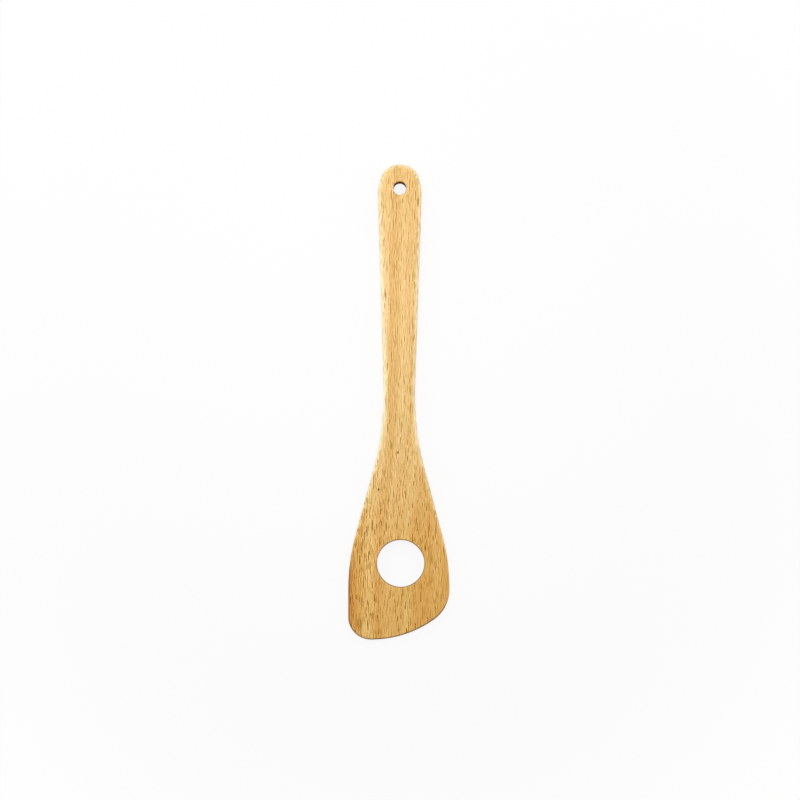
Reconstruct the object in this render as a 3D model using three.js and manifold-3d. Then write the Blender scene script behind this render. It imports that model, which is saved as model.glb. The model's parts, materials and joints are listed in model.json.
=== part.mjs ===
// A wooden spatula made in one piece. A board is sawn to outline, thinned towards the working edge, rounded
// over along every edge, and drilled twice: a hang hole in the handle and a wide drain hole in the blade.
// Millimetres. It lies on its flat back. X runs across it, Y from the blade to the handle, and Z up out of
// the working face. The origin is on the back, under the middle of its length and width.
import * as THREE from "three";
import { mergeVertices, toCreasedNormals } from "three/addons/utils/BufferGeometryUtils.js";
import Module from "manifold-3d";

// Plan of the handle. Widths are between sharp corners, which the radii then round off.
const HANDLE_LENGTH = 166;
const HANDLE_END_WIDTH = 19.2;
const HANDLE_END_RADIUS = 11.6;
const GRIP_WIDTH = 28;
const GRIP_FROM_END = 15.2;
const GRIP_RADIUS = 34;
const NECK_WIDTH = 18.4;
const NECK_RADIUS = 180;

// Plan of the blade, which widens over the flare and then runs straight down to its working edge
const FLARE_LENGTH = 84.5;
const BLADE_LENGTH = 49.5;
const BLADE_WIDTH = 64;
const SHOULDER_RADIUS = 130;

// The working edge is low at the toe, on the left, and climbs to the heel, on the right
const TOE_RADIUS = 14.4;
const EDGE_TURN_FROM_AXIS = 4.4;
const EDGE_RADIUS = 68;
const HEEL_RISE = 19.8;
const HEEL_RADIUS = 23;

// Side view: the working face bends down above the neck and falls straight to the tip
const HANDLE_THICKNESS = 9;
const TIP_THICKNESS = 3;
const THINNING_ABOVE_NECK = 14;
const THINNING_EASE = 30;

// Round-over of the two long edges, which fades from the handle to the tip, and the least flat between them
const HANDLE_ROUND = 3.8;
const TIP_ROUND = 1.1;
const LEAST_SIDE_FLAT = 0.6;

// The two drilled holes, and the eased edges of both
const HANG_HOLE_DIAMETER = 8;
const HANG_HOLE_FROM_END = 15.4;
const DRAIN_HOLE_DIAMETER = 30;
const DRAIN_HOLE_FROM_TIP = 48.3;
const DRAIN_HOLE_FROM_AXIS = 1.1;
const HOLE_EASE_RADIUS = 0.8;
const HOLE_EASE_ANGLE = THREE.MathUtils.degToRad(75);

// How finely the curves are cut into flat facets
const SIDE_STEPS = 96;
const FINE_STEPS = 2400;
const TURN_WEIGHT = 25;
const CHORD_STEPS = 4;
const ROUND_STEPS = 4;
const HOLE_SIDES = 48;
const EASE_STEPS = 3;

const WOOD_COLOUR = 0xe3b873;
const CREASE_ANGLE = THREE.MathUtils.degToRad(30);

const overallLength = HANDLE_LENGTH + FLARE_LENGTH + BLADE_LENGTH;
const handleEndY = overallLength / 2;
const neckY = handleEndY - HANDLE_LENGTH;
const shoulderY = neckY - FLARE_LENGTH;
const tipY = shoulderY - BLADE_LENGTH;
const thinningY = neckY + THINNING_ABOVE_NECK;

// Share of the thinning that is done at a place: none on the handle, all at the tip. A parabola eases the
// bend between the level handle and the straight slope.
function thinning(y) {
  const past = thinningY - y;
  const run = thinningY - tipY;
  if (past <= -THINNING_EASE) return 0;
  if (past >= THINNING_EASE) return past / run;
  return (past + THINNING_EASE) ** 2 / (4 * THINNING_EASE * run);
}

function thicknessAt(y) {
  return THREE.MathUtils.lerp(HANDLE_THICKNESS, TIP_THICKNESS, thinning(y));
}

function roundAt(y) {
  const wanted = THREE.MathUtils.lerp(HANDLE_ROUND, TIP_ROUND, thinning(y));
  return Math.min(wanted, (thicknessAt(y) - LEAST_SIDE_FLAT) / 2);
}

function corner(x, y, radius) {
  return { point: new THREE.Vector2(x, y), radius };
}

// Corners of both sides alike, on the right for side 1 and on the left for side -1
function sideCorners(side) {
  return [
    corner((side * HANDLE_END_WIDTH) / 2, handleEndY, HANDLE_END_RADIUS),
    corner((side * GRIP_WIDTH) / 2, handleEndY - GRIP_FROM_END, GRIP_RADIUS),
    corner((side * NECK_WIDTH) / 2, neckY, NECK_RADIUS),
    corner((side * BLADE_WIDTH) / 2, shoulderY, SHOULDER_RADIUS),
  ];
}

// A path through the corners with an arc in each. Where two arcs need more than the straight between them,
// both are shortened alike.
function roundedPath(start, corners, end) {
  const stops = [corner(start.x, start.y, 0), ...corners, corner(end.x, end.y, 0)];
  for (let i = 1; i < stops.length - 1; i++) {
    const back = stops[i - 1].point.clone().sub(stops[i].point).normalize();
    const ahead = stops[i + 1].point.clone().sub(stops[i].point).normalize();
    stops[i].back = back;
    stops[i].ahead = ahead;
    stops[i].half = back.angleTo(ahead) / 2;
  }
  const reach = stops.map((stop) => (stop.radius ? stop.radius / Math.tan(stop.half) : 0));
  const room = reach.map(() => 1);
  for (let i = 0; i < stops.length - 1; i++) {
    const fit = stops[i].point.distanceTo(stops[i + 1].point) / (reach[i] + reach[i + 1]);
    room[i] = Math.min(room[i], fit);
    room[i + 1] = Math.min(room[i + 1], fit);
  }

  const path = new THREE.Path().moveTo(start.x, start.y);
  for (let i = 1; i < stops.length - 1; i++) {
    const { point, radius, back, ahead, half } = stops[i];
    const fitted = radius * room[i];
    const middle = back.clone().add(ahead).normalize();
    const centre = point.clone().addScaledVector(middle, fitted / Math.sin(half));
    const from = point.clone().addScaledVector(back, reach[i] * room[i]);
    const to = point.clone().addScaledVector(ahead, reach[i] * room[i]);
    path.lineTo(from.x, from.y);
    const startAngle = from.clone().sub(centre).angle();
    const endAngle = to.clone().sub(centre).angle();
    path.absarc(centre.x, centre.y, fitted, startAngle, endAngle, back.cross(ahead) > 0);
  }
  path.lineTo(end.x, end.y);
  return path;
}

// Points along a path, closer together where it turns
function stationsAlong(path) {
  const fine = path.getSpacedPoints(FINE_STEPS);
  const measure = [0];
  for (let i = 1; i <= FINE_STEPS; i++) {
    const step = fine[i].clone().sub(fine[i - 1]);
    const before = i > 1 ? fine[i - 1].clone().sub(fine[i - 2]) : step;
    measure.push(measure[i - 1] + step.length() + TURN_WEIGHT * before.angleTo(step));
  }
  const stations = [];
  let i = 0;
  for (let k = 0; k <= SIDE_STEPS; k++) {
    const goal = (measure[FINE_STEPS] * k) / SIDE_STEPS;
    while (i < FINE_STEPS && measure[i] < goal) i++;
    stations.push(fine[i]);
  }
  return stations;
}

// The outline as one loop, down the heel side and up the toe side
function outlineLoop() {
  const endMiddle = new THREE.Vector2(0, handleEndY);
  const lowest = new THREE.Vector2(TOE_RADIUS - BLADE_WIDTH / 2, tipY);
  const heelSide = roundedPath(endMiddle, [
    ...sideCorners(1),
    corner(BLADE_WIDTH / 2, tipY + HEEL_RISE, HEEL_RADIUS),
    corner(EDGE_TURN_FROM_AXIS, tipY, EDGE_RADIUS),
  ], lowest);
  const toeSide = roundedPath(endMiddle, [
    ...sideCorners(-1),
    corner(-BLADE_WIDTH / 2, tipY, TOE_RADIUS),
  ], lowest);
  const down = stationsAlong(heelSide);
  const up = stationsAlong(toeSide).reverse();
  return [...down, ...up.slice(1, -1)];
}

// Section of the rim, from the working face round to the back: how far in from the outline each point lies,
// and how far below the face or above the back, as shares of the round-over
function rimSection() {
  const section = [];
  for (let j = 0; j <= ROUND_STEPS; j++) {
    const angle = (Math.PI / 2) * (1 - j / ROUND_STEPS);
    section.push({ inset: 1 - Math.cos(angle), depth: 1 - Math.sin(angle), onFace: true });
  }
  const below = section.map(({ inset, depth }) => ({ inset, depth, onFace: false }));
  return [...section, ...below.reverse()];
}

// The board: rings of points round the outline make the rounded rim, and chords between its two sides make
// the working face and the back
function boardGeometry() {
  const loop = outlineLoop();
  const count = loop.length;
  const positions = [];
  const index = [];

  function addPoint(x, y, z) {
    positions.push(x, y, z);
    return positions.length / 3 - 1;
  }

  function addQuad(a, b, c, d) {
    if (a !== b) index.push(a, b, c);
    if (c !== d) index.push(a, c, d);
  }

  const rings = rimSection().map(({ inset, depth, onFace }) => loop.map((point, i) => {
    const tangent = loop[(i + 1) % count].clone().sub(loop[(i + count - 1) % count]).normalize();
    const round = roundAt(point.y);
    const x = point.x + tangent.y * inset * round;
    const y = point.y - tangent.x * inset * round;
    return addPoint(x, y, onFace ? thicknessAt(y) - depth * round : depth * round);
  }));
  for (let j = 0; j < rings.length - 1; j++) {
    for (let i = 0; i < count; i++) {
      const next = (i + 1) % count;
      addQuad(rings[j][i], rings[j][next], rings[j + 1][next], rings[j + 1][i]);
    }
  }

  // Points of one chord from the heel side to the toe side of a ring
  function chord(ring, k, heightAt) {
    const right = ring[k];
    const left = ring[(count - k) % count];
    const row = [right];
    for (let m = 1; m < CHORD_STEPS; m++) {
      const share = m / CHORD_STEPS;
      const x = THREE.MathUtils.lerp(positions[3 * right], positions[3 * left], share);
      const y = THREE.MathUtils.lerp(positions[3 * right + 1], positions[3 * left + 1], share);
      row.push(right === left ? right : addPoint(x, y, heightAt(y)));
    }
    return [...row, left];
  }

  function addFace(ring, heightAt, faceUp) {
    let above = chord(ring, 0, heightAt);
    for (let k = 1; k <= SIDE_STEPS; k++) {
      const row = chord(ring, k, heightAt);
      for (let m = 0; m < CHORD_STEPS; m++) {
        if (faceUp) addQuad(above[m], above[m + 1], row[m + 1], row[m]);
        else addQuad(row[m], row[m + 1], above[m + 1], above[m]);
      }
      above = row;
    }
  }
  addFace(rings[0], thicknessAt, true);
  addFace(rings[rings.length - 1], () => 0, false);

  const geometry = new THREE.BufferGeometry();
  geometry.setAttribute("position", new THREE.Float32BufferAttribute(positions, 3));
  geometry.setIndex(index);
  return geometry;
}

// A cutter for one drilled hole, flared at both mouths so that it leaves eased edges. The upper mouth follows
// the slope of the working face.
function drillGeometry(diameter, x, y) {
  const radius = diameter / 2;
  const top = thicknessAt(y);
  const rise = HOLE_EASE_RADIUS * Math.sin(HOLE_EASE_ANGLE);
  const flare = [];
  for (let j = 0; j <= EASE_STEPS; j++) {
    const angle = (HOLE_EASE_ANGLE * j) / EASE_STEPS;
    const out = radius + HOLE_EASE_RADIUS * (1 - Math.cos(angle));
    flare.push(new THREE.Vector2(out, HOLE_EASE_RADIUS * Math.sin(angle) - rise));
  }
  const mouth = flare[EASE_STEPS].x;
  flare.push(new THREE.Vector2(mouth + rise * Math.tan(HOLE_EASE_ANGLE), rise));
  flare.push(new THREE.Vector2(0, rise));
  const bottomHalf = flare.map((point) => new THREE.Vector2(point.x, -point.y)).reverse();
  const topHalf = flare.map((point) => new THREE.Vector2(point.x, top + point.y));

  const geometry = new THREE.LatheGeometry([...bottomHalf, ...topHalf], HOLE_SIDES);
  geometry.rotateX(Math.PI / 2);
  geometry.translate(x, y, 0);
  const position = geometry.attributes.position;
  for (let i = 0; i < position.count; i++) {
    const z = position.getZ(i);
    if (z > top / 2) position.setZ(i, z + thicknessAt(position.getY(i)) - top);
  }
  return geometry;
}

const wasm = await Module();
wasm.setup();

function solidOf(geometry) {
  geometry.deleteAttribute("normal");
  geometry.deleteAttribute("uv");
  const merged = mergeVertices(geometry);
  return new wasm.Manifold(new wasm.Mesh({
    numProp: 3,
    vertProperties: merged.attributes.position.array,
    triVerts: new Uint32Array(merged.index.array),
  }));
}

function geometryOf(solid) {
  const { vertProperties, triVerts } = solid.getMesh();
  const geometry = new THREE.BufferGeometry();
  geometry.setAttribute("position", new THREE.BufferAttribute(vertProperties, 3));
  geometry.setIndex(new THREE.BufferAttribute(triVerts, 1));
  return toCreasedNormals(geometry, CREASE_ANGLE);
}

const hangHole = drillGeometry(HANG_HOLE_DIAMETER, 0, handleEndY - HANG_HOLE_FROM_END);
const drainHole = drillGeometry(DRAIN_HOLE_DIAMETER, DRAIN_HOLE_FROM_AXIS, tipY + DRAIN_HOLE_FROM_TIP);
const drilled = solidOf(boardGeometry()).subtract(solidOf(hangHole)).subtract(solidOf(drainHole));

const wood = new THREE.MeshStandardMaterial({ color: WOOD_COLOUR, roughness: 0.5, metalness: 0 });
const body = new THREE.Mesh(geometryOf(drilled), wood);
body.name = "spatula_body";

const spatula = new THREE.Group();
spatula.add(body);

export default spatula;
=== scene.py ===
import json

import bpy
import numpy as np
from mathutils import Color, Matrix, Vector


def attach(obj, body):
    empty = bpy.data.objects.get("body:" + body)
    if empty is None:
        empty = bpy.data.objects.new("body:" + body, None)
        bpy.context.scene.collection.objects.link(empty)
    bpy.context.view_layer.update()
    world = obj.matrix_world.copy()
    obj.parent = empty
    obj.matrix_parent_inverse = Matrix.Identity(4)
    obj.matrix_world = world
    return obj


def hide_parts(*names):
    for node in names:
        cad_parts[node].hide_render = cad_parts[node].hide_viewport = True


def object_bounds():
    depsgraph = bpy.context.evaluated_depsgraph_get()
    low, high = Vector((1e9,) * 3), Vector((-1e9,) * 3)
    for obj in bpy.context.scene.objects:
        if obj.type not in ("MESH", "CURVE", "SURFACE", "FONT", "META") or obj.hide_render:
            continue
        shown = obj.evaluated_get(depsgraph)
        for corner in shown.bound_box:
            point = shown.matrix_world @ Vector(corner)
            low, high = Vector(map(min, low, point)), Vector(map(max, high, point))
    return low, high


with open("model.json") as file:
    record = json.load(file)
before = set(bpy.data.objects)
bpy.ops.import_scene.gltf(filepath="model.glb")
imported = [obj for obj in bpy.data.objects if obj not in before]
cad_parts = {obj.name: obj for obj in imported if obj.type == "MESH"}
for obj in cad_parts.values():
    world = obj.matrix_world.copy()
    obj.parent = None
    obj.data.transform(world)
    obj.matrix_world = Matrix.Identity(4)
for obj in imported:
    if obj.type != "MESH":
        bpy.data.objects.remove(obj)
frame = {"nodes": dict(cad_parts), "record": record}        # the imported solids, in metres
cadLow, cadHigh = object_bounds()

scene = bpy.context.scene
scene.view_settings.view_transform = "Standard"
print("frame: nodes", sorted(frame["nodes"]), "size", [round(v, 4) for v in cadHigh - cadLow])


# Spatula body: plan, side view and edges in metres. Length, width and thickness come from the frame's box,
# and the places of the two holes from the frame's openings.
body = dict(
    handleLength=0.166, flareLength=0.0845,
    endWidth=0.0192, endRadius=0.0116,
    gripWidth=0.028, gripFromEnd=0.0152, gripRadius=0.034,
    neckWidth=0.0184, neckRadius=0.180, shoulderRadius=0.130,
    toeRadius=0.0144, edgeTurn=0.0044, edgeRadius=0.068, heelRise=0.0198, heelRadius=0.023,
    tipThickness=0.003, thinningAboveNeck=0.014, thinningEase=0.030,
    handleRound=0.0038, tipRound=0.0011,
    holeDiameter={"hang_hole": 0.008, "drain_hole": 0.030}, holeEase=0.0008,
    # arc lengths from the middle of the end: round the hang hole, then down the handle
    endRun=0.046, handleRun=0.176,
    # fineness of the mesh
    step=0.0008, arcSteps=300, across=28, roundSteps=9, easeSteps=6,
    holeRows={"hang_hole": 14, "drain_hole": 38},
)
endY = float(cadHigh.y)
tipY = float(cadLow.y)
bladeX = float(cadHigh.x)            # half of the blade's width
handleThickness = float(cadHigh.z)
neckY = endY - body["handleLength"]
shoulderY = neckY - body["flareLength"]
thinningY = neckY + body["thinningAboveNeck"]
up = np.array([0, 0, 1])


def openingCentre(name):
    # middle of a stated opening, in plan
    box = next(o["box_m"] for o in frame["record"]["physics"]["openings"] if o["name"] == name)
    return np.mean(np.array(box), axis=0)[:2]


def unit(v):
    # vectors over their own lengths
    return v / np.linalg.norm(v, axis=-1, keepdims=True)


def thinning(y):
    # share of the thinning done: 0 on the handle, then a parabola, then a straight ramp to 1 at the tip
    past = thinningY - y
    run = thinningY - tipY
    ease = body["thinningEase"]
    bend = (np.clip(past, -ease, ease) + ease) ** 2 / (4 * ease * run)
    return np.where(past > ease, past / run, bend)


def thicknessAt(y):
    # from the handle's thickness to the tip's, by the share of the thinning
    return handleThickness + (body["tipThickness"] - handleThickness) * thinning(y)


def roundAt(y):
    # radius of the edges, from the handle's to the tip's in the same way
    return body["handleRound"] + (body["tipRound"] - body["handleRound"]) * thinning(y)


def roundedSide(points, radii):
    # A chain of straights with an arc in each corner. An arc is the corner's radius turned evenly about its
    # centre, so the heading is read off by arc length: steady on a straight, linear along an arc.
    back = unit(points[:-2] - points[1:-1])
    ahead = unit(points[2:] - points[1:-1])
    half = np.arccos(np.sum(back * ahead, axis=1)) / 2
    centre = points[1:-1] + unit(back + ahead) * (radii / np.sin(half))[:, None]
    spoke = points[1:-1] + back * (radii / np.tan(half))[:, None] - centre
    turn = np.sign(ahead[:, 0] * back[:, 1] - ahead[:, 1] * back[:, 0]) * (np.pi - 2 * half)
    angle = turn[:, None] * np.linspace(0, 1, body["arcSteps"])
    cos, sin = np.cos(angle), np.sin(angle)
    arcX = centre[:, :1] + spoke[:, :1] * cos - spoke[:, 1:] * sin
    arcY = centre[:, 1:] + spoke[:, :1] * sin + spoke[:, 1:] * cos
    line = np.concatenate([points[:1], np.stack([arcX.ravel(), arcY.ravel()], axis=1), points[-1:]])
    along = np.concatenate([[0], np.cumsum(np.linalg.norm(np.diff(line, axis=0), axis=1))])
    first = np.arctan2(*(points[1] - points[0])[::-1])
    headings = first + np.concatenate([[0], np.repeat(np.cumsum(turn), 2)])
    starts = 1 + np.arange(len(radii)) * body["arcSteps"]
    knots = np.stack([along[starts], along[starts + body["arcSteps"] - 1]], axis=1).ravel()
    return dict(line=line, along=along, knots=knots, headings=headings[:-1])


def sideStations(side, lowerCorners):
    # points and outward directions down one side (1 heel, -1 toe), evenly spaced within three runs
    upperCorners = [
        (side * body["endWidth"] / 2, endY, body["endRadius"]),
        (side * body["gripWidth"] / 2, endY - body["gripFromEnd"], body["gripRadius"]),
        (side * body["neckWidth"] / 2, neckY, body["neckRadius"]),
        (side * bladeX, shoulderY, body["shoulderRadius"]),
    ]
    corners = np.array(upperCorners + lowerCorners)
    lowest = [body["toeRadius"] - bladeX, tipY]
    points = np.concatenate([[[0, endY]], corners[:, :2], [lowest]])
    path = roundedSide(points, corners[:, 2])
    stops = [0, body["endRun"], body["endRun"] + body["handleRun"], path["along"][-1]]
    spans = list(zip(stops, stops[1:]))
    counts = [round((high - low) / body["step"]) for low, high in spans]
    runs = [np.linspace(low, high, n, endpoint=False) for (low, high), n in zip(spans, counts)]
    stations = np.concatenate(runs + [stops[-1:]])
    place = np.stack([np.interp(stations, path["along"], path["line"][:, k]) for k in (0, 1)], axis=1)
    heading = np.interp(stations, path["knots"], path["headings"])
    outward = side * np.stack([-np.sin(heading), np.cos(heading)], axis=1)
    return place, outward, counts


def gridQuads(index, closed):
    # quads between neighbouring rows and columns of an array of vertex numbers
    if closed:
        index = np.concatenate([index, index[:, :1]], axis=1)
    quads = [index[:-1, :-1], index[:-1, 1:], index[1:, 1:], index[1:, :-1]]
    return np.stack(quads, axis=-1).reshape(-1, 4)


def lift(plan, front):
    # a plan grid as a face: at the thickness on the working face, at zero on the back
    z = thicknessAt(plan[..., 1]) if front else np.zeros(plan.shape[:-1])
    return np.concatenate([plan, z[..., None]], axis=-1)


def mouthProfile(radius):
    # quarter round of a hole's edge: distance from the axis and depth below the face
    angle = np.linspace(0, np.pi / 2, body["easeSteps"] + 1)
    return radius + body["holeEase"] * (1 - np.sin(angle)), body["holeEase"] * (1 - np.cos(angle))


def holePatch(name, outer):
    # Ring of quads from a hole's mouth to a closed outer line: each row is a blend of the two, and the
    # mouth's points lie in the directions of the outer ones. The wall carries the mouth's profile round the
    # hole.
    centre = openingCentre(name)
    radius = body["holeDiameter"][name] / 2
    direction = unit(outer - centre)
    inner = centre + direction * (radius + body["holeEase"])
    share = np.linspace(0, 1, body["holeRows"][name] + 1)[:, None, None]
    plan = (1 - share) * inner + share * outer
    reach, depth = mouthProfile(radius)
    wallPlan = centre + direction * reach[:, None, None]
    wallPlan[0] = inner      # exactly the face's own points
    upper = lift(wallPlan, True) - depth[:, None, None] * up
    lower = lift(wallPlan, False) + depth[:, None, None] * up
    wall = np.concatenate([upper, lower[::-1]])
    return [(lift(plan, True), True), (lift(plan, False)[::-1], True), (wall[::-1], True)]


def bodyGrids():
    # grids of points that cover the body, each with whether its rows close into rings
    heel = [
        (bladeX, tipY + body["heelRise"], body["heelRadius"]),
        (body["edgeTurn"], tipY, body["edgeRadius"]),
    ]
    toe = [(-bladeX, tipY, body["toeRadius"])]
    heelPlace, heelOut, counts = sideStations(1, heel)
    toePlace, toeOut, _ = sideStations(-1, toe)
    loop = np.concatenate([heelPlace, toePlace[-2:0:-1]])
    outward = np.concatenate([heelOut, toeOut[-2:0:-1]])

    # rim: quarter rounds from the working face to the side and from the side to the back
    angle = np.linspace(np.pi / 2, 0, body["roundSteps"] + 1)[:, None]
    rounding = roundAt(loop[:, 1])
    inset = (1 - np.cos(angle)) * rounding
    drop = (1 - np.sin(angle)) * rounding
    plan = loop - outward * inset[..., None]
    upper = lift(plan, True) - drop[..., None] * up
    lower = lift(plan, False) + drop[..., None] * up
    rim = np.concatenate([upper, lower[::-1]])

    # faces: a grid of chords down the handle, and a patch round each hole
    ring = plan[0]
    total = len(ring)
    first, last = counts[0], counts[0] + counts[1]
    share = np.linspace(0, 1, body["across"] + 1)[:, None]
    rows = np.arange(first, last + 1)
    right, left = ring[rows][:, None], ring[total - rows][:, None]
    handle = (1 - share) * right + share * left
    endLine = np.concatenate([ring[total - first:], ring[:first + 1], handle[0][1:-1]])
    bladeLine = np.concatenate([ring[last:total - last + 1], handle[-1][-2:0:-1]])
    grids = [(rim, True), (lift(handle, True), False), (lift(handle, False)[::-1], False)]
    return grids + holePatch("hang_hole", endLine) + holePatch("drain_hole", bladeLine)


def meshFromGrids(name, grids):
    # the grids share their border points exactly, so equal points become one vertex
    vertices, quads, count = [], [], 0
    for grid, closed in grids:
        index = count + np.arange(grid.shape[0] * grid.shape[1]).reshape(grid.shape[:2])
        quads.append(gridQuads(index, closed))
        vertices.append(grid.reshape(-1, 3))
        count += index.size
    points, merged = np.unique(np.concatenate(vertices), axis=0, return_inverse=True)
    faces = merged.reshape(-1)[np.concatenate(quads)]
    mesh = bpy.data.meshes.new(name)
    mesh.from_pydata(points.tolist(), [], faces.tolist())
    mesh.polygons.foreach_set("use_smooth", np.ones(len(faces), bool))
    mesh.update()
    piece = bpy.data.objects.new(name, mesh)
    scene.collection.objects.link(piece)
    print(name, "vertices", len(points), "quads", len(faces))
    return piece


# Node helpers: put() makes a node, links the sockets it is given and sets the plain values
def put(tree, kind, wires=None, **settings):
    node = tree.nodes.new("ShaderNode" + kind)
    for key, value in settings.items():
        setattr(node, key, value)
    for socket, value in (wires or {}).items():
        if isinstance(value, bpy.types.NodeSocket):
            tree.links.new(value, node.inputs[socket])
        else:
            node.inputs[socket].default_value = value
    return node


def calc(tree, operation, *terms):
    return put(tree, "Math", dict(enumerate(terms)), operation=operation).outputs[0]


def vectorCalc(tree, operation, *terms):
    # a vector, or the number where a distance or a length is asked for
    node = put(tree, "VectorMath", dict(enumerate(terms)), operation=operation)
    return node.outputs["Value" if operation in ("DISTANCE", "LENGTH") else "Vector"]


def turned(tree, vector, angle):
    # a vector turned about the third axis
    return put(tree, "Mapping", {"Vector": vector, "Rotation": (0, 0, angle)}).outputs[0]


def remap(tree, value, span, out=(0.0, 1.0), kind="LINEAR"):
    # carries a value from one span to another and holds it at their ends; either may run downwards
    wires = {"Value": value, "From Min": span[0], "From Max": span[1], "To Min": out[0], "To Max": out[1]}
    return put(tree, "MapRange", wires, interpolation_type=kind).outputs[0]


def eased(tree, value, span, out=(0.0, 1.0)):
    # the same with a smooth start and end
    return remap(tree, value, span, out, "SMOOTHSTEP")


def mixColour(tree, share, first, second, mode="MIX"):
    # a Mix node's sockets 0, 6 and 7 are the share and the two colours, and its output 2 is the new colour
    return put(tree, "Mix", {0: share, 6: first, 7: second}, data_type="RGBA", blend_type=mode).outputs[2]


def tinted(tree, share, base, tint):
    return mixColour(tree, share, base, tint, "MULTIPLY")


def smoothRamp(tree, place, stops):
    # smooth ramp through (place, share) pairs
    low, high = stops[0][0], stops[-1][0]
    node = put(tree, "ValToRGB", {0: remap(tree, place, (low, high))})
    ramp = node.color_ramp
    ramp.interpolation = "EASE"
    for stop, _ in stops[1:-1]:
        ramp.elements.new((stop - low) / (high - low))
    for element, (_, share) in zip(list(ramp.elements), stops):
        element.color = (share, share, share, 1.0)
    return node.outputs[0]


def colour(*screen):
    # screen colour, 0 to 255, as linear light
    return (*Color([c / 255 for c in screen]).from_srgb_to_scene_linear(), 1.0)


# Wood: places and lengths in millimetres. A noise has its size across the grain, its size along it and its
# number of finer layers. A span gives where something starts and where it is complete.
perMetre = 1000.0        # millimetres
wood = dict(
    specular=0.25, noiseRoughness=0.55,
    # the grain line at the hanging end and at the tip, its bend in the flare, and the rings' lean in depth
    lineEnds=(-4.2, -10.8), lineBend=-6.0, bendSpan=(-10.0, -90.0), ringLean=0.25,

    # share of warm wood across the board, by distance from the grain line
    pale=colour(255, 219, 143), warm=colour(230, 176, 88),
    bands=((-16, 0.93), (-8, 0.86), (-3.8, 0.25), (0.6, 0.2), (4.4, 0.86), (7, 0.79), (10, 0.41), (16, 0.6),
           (22, 0.38), (27, 0.83), (36, 0.97), (41, 0.72), (46, 0.86)),
    bandNoise=(12.0, 70.0, 2.0), bandSway=6.0,
    # how clearly the bands show along the board, by distance from its middle
    bandMiddle=0.62,
    bandShow=((-150, 0.7), (-100, 0.7), (-75, 0.75), (-50, 0.7), (-25, 0.75), (0, 0.95), (80, 0.95),
              (120, 0.45), (150, 0.4)),
    patchNoise=(4.0, 40.0, 2.0), patchShare=0.39,
    hueNoise=(6.0, 30.0, 2.0), hueSpan=(0.3, 0.7),
    oliveTint=(0.98, 1.012, 0.98, 1.0), pinkTint=(1.02, 0.988, 1.03, 1.0),
    toeColour=colour(214, 138, 52), toeShare=0.65, toeAcross=(-25.0, -31.5), toeAlong=(-88.0, -112.0),
    # the handle's whiter tint is partly painted sheen, the blade's warmer tint partly painted shade from
    # the lamps' fall-off; the rest is wood tone
    handleToneAndSheen=(0.963, 0.991, 1.165, 1.0), bladeToneAndShade=(0.966, 0.925, 0.865, 1.0), tintSpan=(-25.0, -110.0),
    fibreNoise=(1.5, 40.0, 3.0), fibreSpan=(0.3, 0.7), fibreShare=(-0.06, 0.06),
    hairNoise=(0.50, 6.0, 1.0), hairSpan=(0.28, 0.72),
    darkHair=(0.86, 0.80, 0.67, 1.0), lightHair=(1.06, 1.08, 1.14, 1.0),
    # thin growth lines near the hanging end: distance from the grain line, and strength
    growthLines=((3.3, 1.0), (4.6, 0.6)), growthWidth=0.4, growthSpan=(80.0, 125.0),
    growthTint=(0.80, 0.70, 0.52, 1.0),

    # pores: a cell's size, the least and the most of what differs from pore to pore, the dip along the
    # grain and the sway
    largePores=dict(cell=0.60, halfWidth=(0.10, 0.19), halfDepth=(0.08, 0.27), strength=(0.2, 1.0),
                    dip=0.048, sway=0.5),
    smallPores=dict(cell=0.40, halfWidth=(0.06, 0.11), halfDepth=(0.05, 0.18), strength=(0.12, 0.9),
                    dip=0.042, sway=0.3),
    swayNoise=(9.0, 28.0, 1.0), poreSqueeze=0.5, poreTurn=0.6, strengthPower=2.0,
    dipChange=0.00006, flatFrom=-88.0, flatEase=30.0, flatter=0.0125,
    # the ends, core and rim of a dash in shares of its half size, and its flanks in millimetres
    endSpan=(1.1, 0.7), coreSpan=(1.15, 0.8), rimSpan=(2.0, 1.2), flankSpan=(1.1, 0.75),
    poreColour=colour(96, 30, 0), rimTint=(1.0, 0.79, 0.06, 1.0), flankTint=(1.14, 1.19, 1.36, 1.0),
    handlePores=1.03, bladePores=0.48, bladeSpan=(-25.0, -85.0), toePores=0.65, toeSpan=(-4.0, -18.0),

    # flecks: places in plan
    flecks=((-0.75, -31.4), (-13.0, -54.8)), fleckLength=1.6,
    fleckColour=colour(72, 26, 0), fleckSpan=(0.65, 0.25), fleckRimSpan=(0.85, 0.35),

    # edges: painted shade and a painted highlight, by spans of the normal's parts and along the board
    paintedShadeColour=colour(140, 88, 36), paintedShadeShare=0.85, paintedShadeSpan=(-0.1, -0.5),
    # painted highlight: rounded edges paler and whiter, standing in for the lamps' reflection
    edgeHighlightTint=(1.14, 1.40, 2.15, 1.0), highlightFromFace=(1.0, 0.75), highlightFromSide=(0.0, 0.3),
    highlightAlong=(-70.0, -100.0), highlightOnBlade=0.1,

    # painted shade in the holes: how far past the wall the dark reaches and where it is complete
    boreShadeColour=colour(88, 50, 18), boreShadeReach={"hang_hole": 0.25, "drain_hole": 0.45}, boreShadeFull=0.02,
    boreShadeShare={"hang_hole": 0.85, "drain_hole": 0.7},

    # gloss, and relief in metres
    roughSpan=(0.25, 0.75), fibreRough=(0.32, 0.40), poreRough=0.2, boreRough=0.6,
    poreRelief=0.00002, fibreRelief=0.000012,
)


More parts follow.
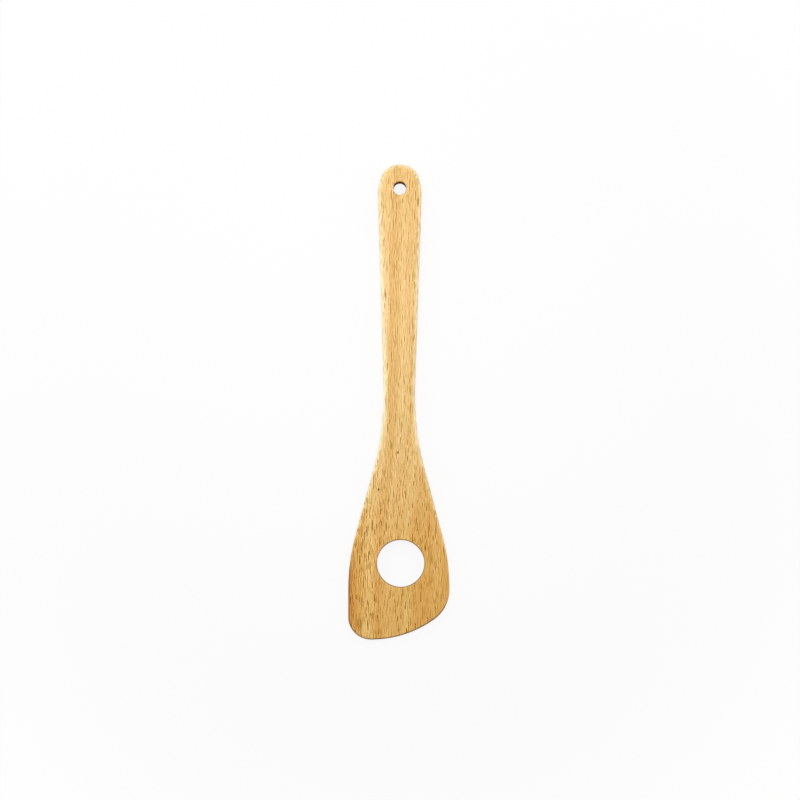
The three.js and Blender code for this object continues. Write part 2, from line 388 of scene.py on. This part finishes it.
def boardPlace(tree):
    # millimetres along the board's axes and across its growth rings, share of the toe, way a face looks
    place = put(tree, "TexCoord").outputs
    metric = vectorCalc(tree, "MULTIPLY", place["Object"], (perMetre, perMetre, perMetre))
    x, y, z = put(tree, "SeparateXYZ", {0: metric}).outputs
    # grain lines lean slowly left down the handle, and faster where the blade flares
    lean = remap(tree, y, (perMetre * endY, perMetre * tipY), wood["lineEnds"])
    bend = eased(tree, y, wood["bendSpan"], (0.0, wood["lineBend"]))
    fromLine = calc(tree, "SUBTRACT", x, calc(tree, "ADD", lean, bend))
    ring = calc(tree, "MULTIPLY_ADD", z, wood["ringLean"], fromLine)
    toe = eased(tree, x, wood["toeAcross"], (0.0, wood["toeShare"]))
    toe = calc(tree, "MULTIPLY", toe, eased(tree, y, wood["toeAlong"]))
    facing = put(tree, "SeparateXYZ", {0: place["Normal"]}).outputs
    return dict(metric=metric, x=x, y=y, z=z, ring=ring, toe=toe, facing=facing)


def grainNoise(tree, at, noise, base):
    # noise from 0 to 1, drawn out along the grain
    across, along, detail = noise
    sizes = [(base, across), (at["y"], along), (at["z"], across)]
    parts = [calc(tree, "DIVIDE", value, size) for value, size in sizes]
    vector = put(tree, "CombineXYZ", dict(enumerate(parts))).outputs[0]
    wires = {"Vector": vector, "Scale": 1.0, "Detail": detail, "Roughness": wood["noiseRoughness"]}
    return put(tree, "TexNoise", wires).outputs["Fac"]


def grainSwing(tree, at, noise, base):
    # the same about its middle, from -0.5 to 0.5
    return calc(tree, "SUBTRACT", grainNoise(tree, at, noise, base), 0.5)


def boardTone(tree, at, fibres):
    # long bands of pale and warm wood with small patches in them
    y, ring = at["y"], at["ring"]
    swing = grainSwing(tree, at, wood["bandNoise"], ring)
    warmth = smoothRamp(tree, calc(tree, "MULTIPLY_ADD", swing, wood["bandSway"], ring), wood["bands"])
    warmth = calc(tree, "SUBTRACT", warmth, wood["bandMiddle"])
    warmth = calc(tree, "MULTIPLY_ADD", warmth, smoothRamp(tree, y, wood["bandShow"]), wood["bandMiddle"])
    patches = grainSwing(tree, at, wood["patchNoise"], ring)
    warmth = calc(tree, "MULTIPLY_ADD", patches, wood["patchShare"], warmth)
    base = mixColour(tree, warmth, wood["pale"], wood["warm"])

    # drifts of hue, an orange toe, and a blade warmer than the handle: the handle's whiter tint is partly
    # painted sheen and the blade's warmer tint partly painted shade, the rest wood tone
    hue = remap(tree, grainNoise(tree, at, wood["hueNoise"], ring), wood["hueSpan"])
    base = tinted(tree, 1.0, base, mixColour(tree, hue, wood["oliveTint"], wood["pinkTint"]))
    base = mixColour(tree, at["toe"], base, wood["toeColour"])
    down = eased(tree, y, wood["tintSpan"])
    base = tinted(tree, 1.0, base, mixColour(tree, down, wood["handleToneAndSheen"], wood["bladeToneAndShade"]))

    # fibres, finer hairs and growth lines
    hairs = remap(tree, grainNoise(tree, at, wood["hairNoise"], at["x"]), wood["hairSpan"])
    streak = calc(tree, "ADD", remap(tree, fibres, wood["fibreSpan"], wood["fibreShare"]), hairs)
    base = tinted(tree, 1.0, base, mixColour(tree, streak, wood["darkHair"], wood["lightHair"]))
    nearEnd = eased(tree, y, wood["growthSpan"])
    for line, share in wood["growthLines"]:
        away = calc(tree, "ABSOLUTE", calc(tree, "SUBTRACT", ring, line))
        growth = eased(tree, away, (wood["growthWidth"], 0.0), (0.0, share))
        base = tinted(tree, calc(tree, "MULTIPLY", growth, nearEnd), base, wood["growthTint"])
    return base


def poreDashes(tree, at, pores, sway, nearTip):
    # Pores run along the grain, one to a cell of the cross-section, and dip through the board. A face cuts
    # each one at a small angle, so it shows as a dash: as wide as the pore, as long as its depth over the
    # dip. The section is squeezed across and turned first, so the cells are wider than deep and stand in no
    # rows. A dash has a dark core, a rim round it and paler flanks, which all fade with the distance from
    # its middle line.
    slope = calc(tree, "MULTIPLY_ADD", at["y"], wood["dipChange"], pores["dip"])
    depth = calc(tree, "MULTIPLY_ADD", at["y"], slope, at["z"])
    depth = calc(tree, "MULTIPLY_ADD", nearTip, -wood["flatter"], depth)
    depth = calc(tree, "MULTIPLY_ADD", sway, pores["sway"], depth)
    across = calc(tree, "MULTIPLY", at["x"], wood["poreSqueeze"])
    section = turned(tree, put(tree, "CombineXYZ", {0: across, 1: depth}).outputs[0], wood["poreTurn"])
    wires = {"Vector": section, "Scale": 1 / pores["cell"]}
    cells = put(tree, "TexVoronoi", wires, voronoi_dimensions="2D").outputs
    wide, strong, long = put(tree, "SeparateColor", {0: cells["Color"]}).outputs
    away = turned(tree, vectorCalc(tree, "SUBTRACT", section, cells["Position"]), -wood["poreTurn"])
    aside, below, _ = put(tree, "SeparateXYZ", {0: away}).outputs
    aside = calc(tree, "DIVIDE", calc(tree, "ABSOLUTE", aside), wood["poreSqueeze"])
    side = calc(tree, "DIVIDE", aside, remap(tree, wide, (0.0, 1.0), pores["halfWidth"]))
    below = calc(tree, "ABSOLUTE", below)
    end = calc(tree, "DIVIDE", below, remap(tree, long, (0.0, 1.0), pores["halfDepth"]))
    shown = remap(tree, calc(tree, "POWER", strong, wood["strengthPower"]), (0.0, 1.0), pores["strength"])
    shown = calc(tree, "MULTIPLY", shown, eased(tree, end, wood["endSpan"]))
    core = calc(tree, "MULTIPLY", shown, eased(tree, side, wood["coreSpan"]))
    rim = calc(tree, "MULTIPLY", shown, eased(tree, side, wood["rimSpan"]))
    flank = calc(tree, "MULTIPLY", shown, eased(tree, aside, wood["flankSpan"]))
    return core, rim, flank


def addPores(tree, at, base):
    sway = grainSwing(tree, at, wood["swayNoise"], at["x"])
    # towards the tip the pores run flatter, so their dashes are longer there
    pastFlat = calc(tree, "SUBTRACT", at["y"], wood["flatFrom"])
    nearTip = calc(tree, "SMOOTH_MIN", pastFlat, 0.0, wood["flatEase"])
    large = poreDashes(tree, at, wood["largePores"], sway, nearTip)
    small = poreDashes(tree, at, wood["smallPores"], sway, nearTip)

    # dashes are fainter on the handle, clearer on the blade and darkest towards its toe
    onBlade = eased(tree, at["y"], wood["bladeSpan"])
    nearToe = eased(tree, at["x"], wood["toeSpan"], (0.0, wood["toePores"]))
    stain = calc(tree, "MULTIPLY_ADD", onBlade, wood["bladePores"], wood["handlePores"])
    stain = calc(tree, "MULTIPLY_ADD", onBlade, nearToe, stain)
    strongest = [calc(tree, "MAXIMUM", *both) for both in zip(large, small)]
    core, rim, flank = [calc(tree, "MULTIPLY", share, stain) for share in strongest]
    base = tinted(tree, flank, base, wood["flankTint"])
    base = tinted(tree, rim, base, wood["rimTint"])
    return mixColour(tree, core, base, wood["poreColour"]), large[0]


def addFlecks(tree, at, base):
    # dark flecks on the working face, longer along the grain: a warm rim round a dark middle
    shorter = (1.0, 1 / wood["fleckLength"], 1.0)
    drawnIn = vectorCalc(tree, "MULTIPLY", at["metric"], shorter)
    for x, y in wood["flecks"]:
        z = perMetre * thicknessAt(y / perMetre)
        away = vectorCalc(tree, "DISTANCE", drawnIn, (np.array([x, y, z]) * shorter).tolist())
        base = tinted(tree, remap(tree, away, wood["fleckRimSpan"]), base, wood["rimTint"])
        base = mixColour(tree, remap(tree, away, wood["fleckSpan"]), base, wood["fleckColour"])
    return base


def addEdgeShadeAndHighlight(tree, at, base):
    # painted shade: faces turned towards the tip, away from the lamps, are darker, and so is the side of
    # the toe
    aside, along, tilt = at["facing"]
    tipwardShade = eased(tree, along, wood["paintedShadeSpan"], (0.0, wood["paintedShadeShare"]))
    base = mixColour(tree, tipwardShade, base, wood["paintedShadeColour"])
    toeSideShade = calc(tree, "MULTIPLY", at["toe"], eased(tree, aside, wood["paintedShadeSpan"]))
    base = mixColour(tree, toeSideShade, base, wood["paintedShadeColour"])

    # painted highlight: rounded edges are paler and whiter, less so down the blade
    edgeHighlight = remap(tree, tilt, wood["highlightFromFace"])
    edgeHighlight = calc(tree, "MULTIPLY", edgeHighlight, eased(tree, tilt, wood["highlightFromSide"]))
    edgeHighlight = calc(tree, "MULTIPLY", edgeHighlight, eased(tree, at["y"], wood["highlightAlong"], (1.0, wood["highlightOnBlade"])))
    return tinted(tree, edgeHighlight, base, wood["edgeHighlightTint"])


def addBoreShade(tree, at, base):
    # painted shade in the holes: the walls are dark, a share that fades with the distance from each hole's
    # axis
    plan = put(tree, "CombineXYZ", {0: at["x"], 1: at["y"]}).outputs[0]
    boreShades = []
    for hole, diameter in body["holeDiameter"].items():
        centre = (perMetre * openingCentre(hole)).tolist()
        radius = perMetre * diameter / 2
        span = (radius + wood["boreShadeReach"][hole], radius + wood["boreShadeFull"])
        away = vectorCalc(tree, "DISTANCE", plan, (*centre, 0.0))
        boreShades.append(eased(tree, away, span, (0.0, wood["boreShadeShare"][hole])))
        base = mixColour(tree, boreShades[-1], base, wood["boreShadeColour"])
    return base, calc(tree, "MAXIMUM", *boreShades)


def woodMaterial():
    material = bpy.data.materials.new("sandedHardwood")
    material.use_nodes = True
    tree = material.node_tree
    shader = tree.nodes["Principled BSDF"]
    shader.inputs["Specular IOR Level"].default_value = wood["specular"]
    at = boardPlace(tree)
    fibres = grainNoise(tree, at, wood["fibreNoise"], at["x"])
    base = boardTone(tree, at, fibres)
    base, pores = addPores(tree, at, base)
    base = addFlecks(tree, at, base)
    base = addEdgeShadeAndHighlight(tree, at, base)
    base, boreShade = addBoreShade(tree, at, base)
    tree.links.new(base, shader.inputs["Base Color"])

    # large pores and bores are rougher, and in relief the fibres stand proud and the large pores are hollow
    rough = remap(tree, fibres, wood["roughSpan"], wood["fibreRough"])
    rough = calc(tree, "MULTIPLY_ADD", pores, wood["poreRough"], rough)
    rough = calc(tree, "MULTIPLY_ADD", boreShade, wood["boreRough"], rough)
    tree.links.new(rough, shader.inputs["Roughness"])
    hollow = calc(tree, "MULTIPLY", pores, -wood["poreRelief"])
    height = calc(tree, "MULTIPLY_ADD", fibres, wood["fibreRelief"], hollow)
    bump = put(tree, "Bump", {"Height": height, "Distance": 1.0, "Strength": 1.0})
    tree.links.new(bump.outputs[0], shader.inputs["Normal"])
    print("wood: nodes", len(tree.nodes))
    return material


spatula = meshFromGrids("spatula", bodyGrids())
spatula.data.materials.append(woodMaterial())
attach(spatula, "root")
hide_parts("spatula_body")


# Floor and light: a white floor that keeps the shadow, an even sky, a soft lamp over the handle, one beyond
# its end, and a broad one on each side
stage = dict(floorSize=6.0, floorColour=(0.9, 0.9, 0.9, 1.0), white=(1.0, 1.0, 1.0, 1.0), sky=0.36,
             whiteShare=0.86, whiteSpan=(0.16, 0.42))
lamps = dict(
    overHandle=dict(place=(-0.05, 0.10, 0.48), aim=(0.0, 0.05, 0.0), size=(0.32, 0.32), power=1.1),
    beyondEnd=dict(place=(-0.05, 0.60, 0.30), aim=(0.0, 0.0, 0.0), size=(0.90, 0.45), power=1.1),
    leftSide=dict(place=(-0.70, 0.20, 0.30), aim=(0.0, 0.08, 0.0), size=(0.90, 0.50), power=1.6),
    rightSide=dict(place=(0.70, 0.20, 0.30), aim=(0.0, 0.08, 0.0), size=(0.90, 0.50), power=1.6),
)


def cameraSight(tree):
    # 1 for rays that the eye, a reflection or a clear piece sends out
    path = put(tree, "LightPath").outputs
    seen = calc(tree, "MAXIMUM", path["Is Camera Ray"], path["Is Glossy Ray"])
    return calc(tree, "MAXIMUM", seen, path["Is Transmission Ray"])


def makeFloor():
    half = stage["floorSize"] / 2
    mesh = bpy.data.meshes.new("floor")
    corners = np.array([[-1, -1, 0], [1, -1, 0], [1, 1, 0], [-1, 1, 0]]) * half
    mesh.from_pydata(corners.tolist(), [], [(0, 1, 2, 3)])
    material = bpy.data.materials.new("paleFloor")
    material.use_nodes = True
    tree = material.node_tree
    tree.nodes.clear()
    matte = put(tree, "BsdfDiffuse", {"Color": stage["floorColour"]})
    glow = put(tree, "Emission", {"Color": stage["white"], "Strength": 1.0})
    # the floor is whiter with distance from the object, so it meets the sky without a line
    away = vectorCalc(tree, "LENGTH", put(tree, "TexCoord").outputs["Object"])
    share = eased(tree, away, stage["whiteSpan"], (stage["whiteShare"], 1.0))
    share = calc(tree, "MULTIPLY", cameraSight(tree), share)
    both = put(tree, "MixShader", {0: share, 1: matte.outputs[0], 2: glow.outputs[0]})
    put(tree, "OutputMaterial", {"Surface": both.outputs[0]})
    mesh.materials.append(material)
    floor = bpy.data.objects.new("floor", mesh)
    scene.collection.objects.link(floor)


def makeLight():
    world = bpy.data.worlds.new("studio")
    world.use_nodes = True
    scene.world = world
    tree = world.node_tree
    background = tree.nodes["Background"]
    strength = remap(tree, cameraSight(tree), (0.0, 1.0), (stage["sky"], 1.0))
    tree.links.new(strength, background.inputs["Strength"])
    background.inputs["Color"].default_value = stage["white"]
    for name, lamp in lamps.items():
        light = bpy.data.lights.new(name, "AREA")
        light.shape = "RECTANGLE"
        light.size, light.size_y = lamp["size"]
        light.energy = lamp["power"]
        holder = bpy.data.objects.new(name, light)
        aim = Vector(lamp["aim"]) - Vector(lamp["place"])
        holder.location = lamp["place"]
        holder.rotation_euler = aim.to_track_quat("-Z", "Y").to_euler()
        scene.collection.objects.link(holder)


makeFloor()
makeLight()
print("stage: floor, sky and lamps")


# Camera: straight down, with the overall length on the pixel rows where it lies in the picture
view = dict(pixels=800, topRow=165.0, bottomRow=640.1, axisColumn=399.31,
            leanTurn=-0.0026,                    # radians
            distance=0.98, sightHeight=0.004,    # metres; the rows hold at the sight height
            sensor=36.0)                         # millimetres


def makeCamera():
    perPixel = (endY - tipY) / (view["bottomRow"] - view["topRow"])
    middleRow = (view["topRow"] + view["bottomRow"]) / 2
    middle = view["pixels"] / 2
    lens = bpy.data.cameras.new("camera")
    lens.sensor_width = view["sensor"]
    lens.lens = view["sensor"] * view["distance"] / (perPixel * view["pixels"])
    camera = bpy.data.objects.new("camera", lens)
    camera.location = ((middle - view["axisColumn"]) * perPixel, (middleRow - middle) * perPixel,
                       view["distance"] + view["sightHeight"])
    camera.rotation_euler = (0, 0, -view["leanTurn"])
    scene.collection.objects.link(camera)
    scene.camera = camera
    print("camera: lens", round(lens.lens, 2), "mm at", round(view["distance"], 3), "m")


makeCamera()
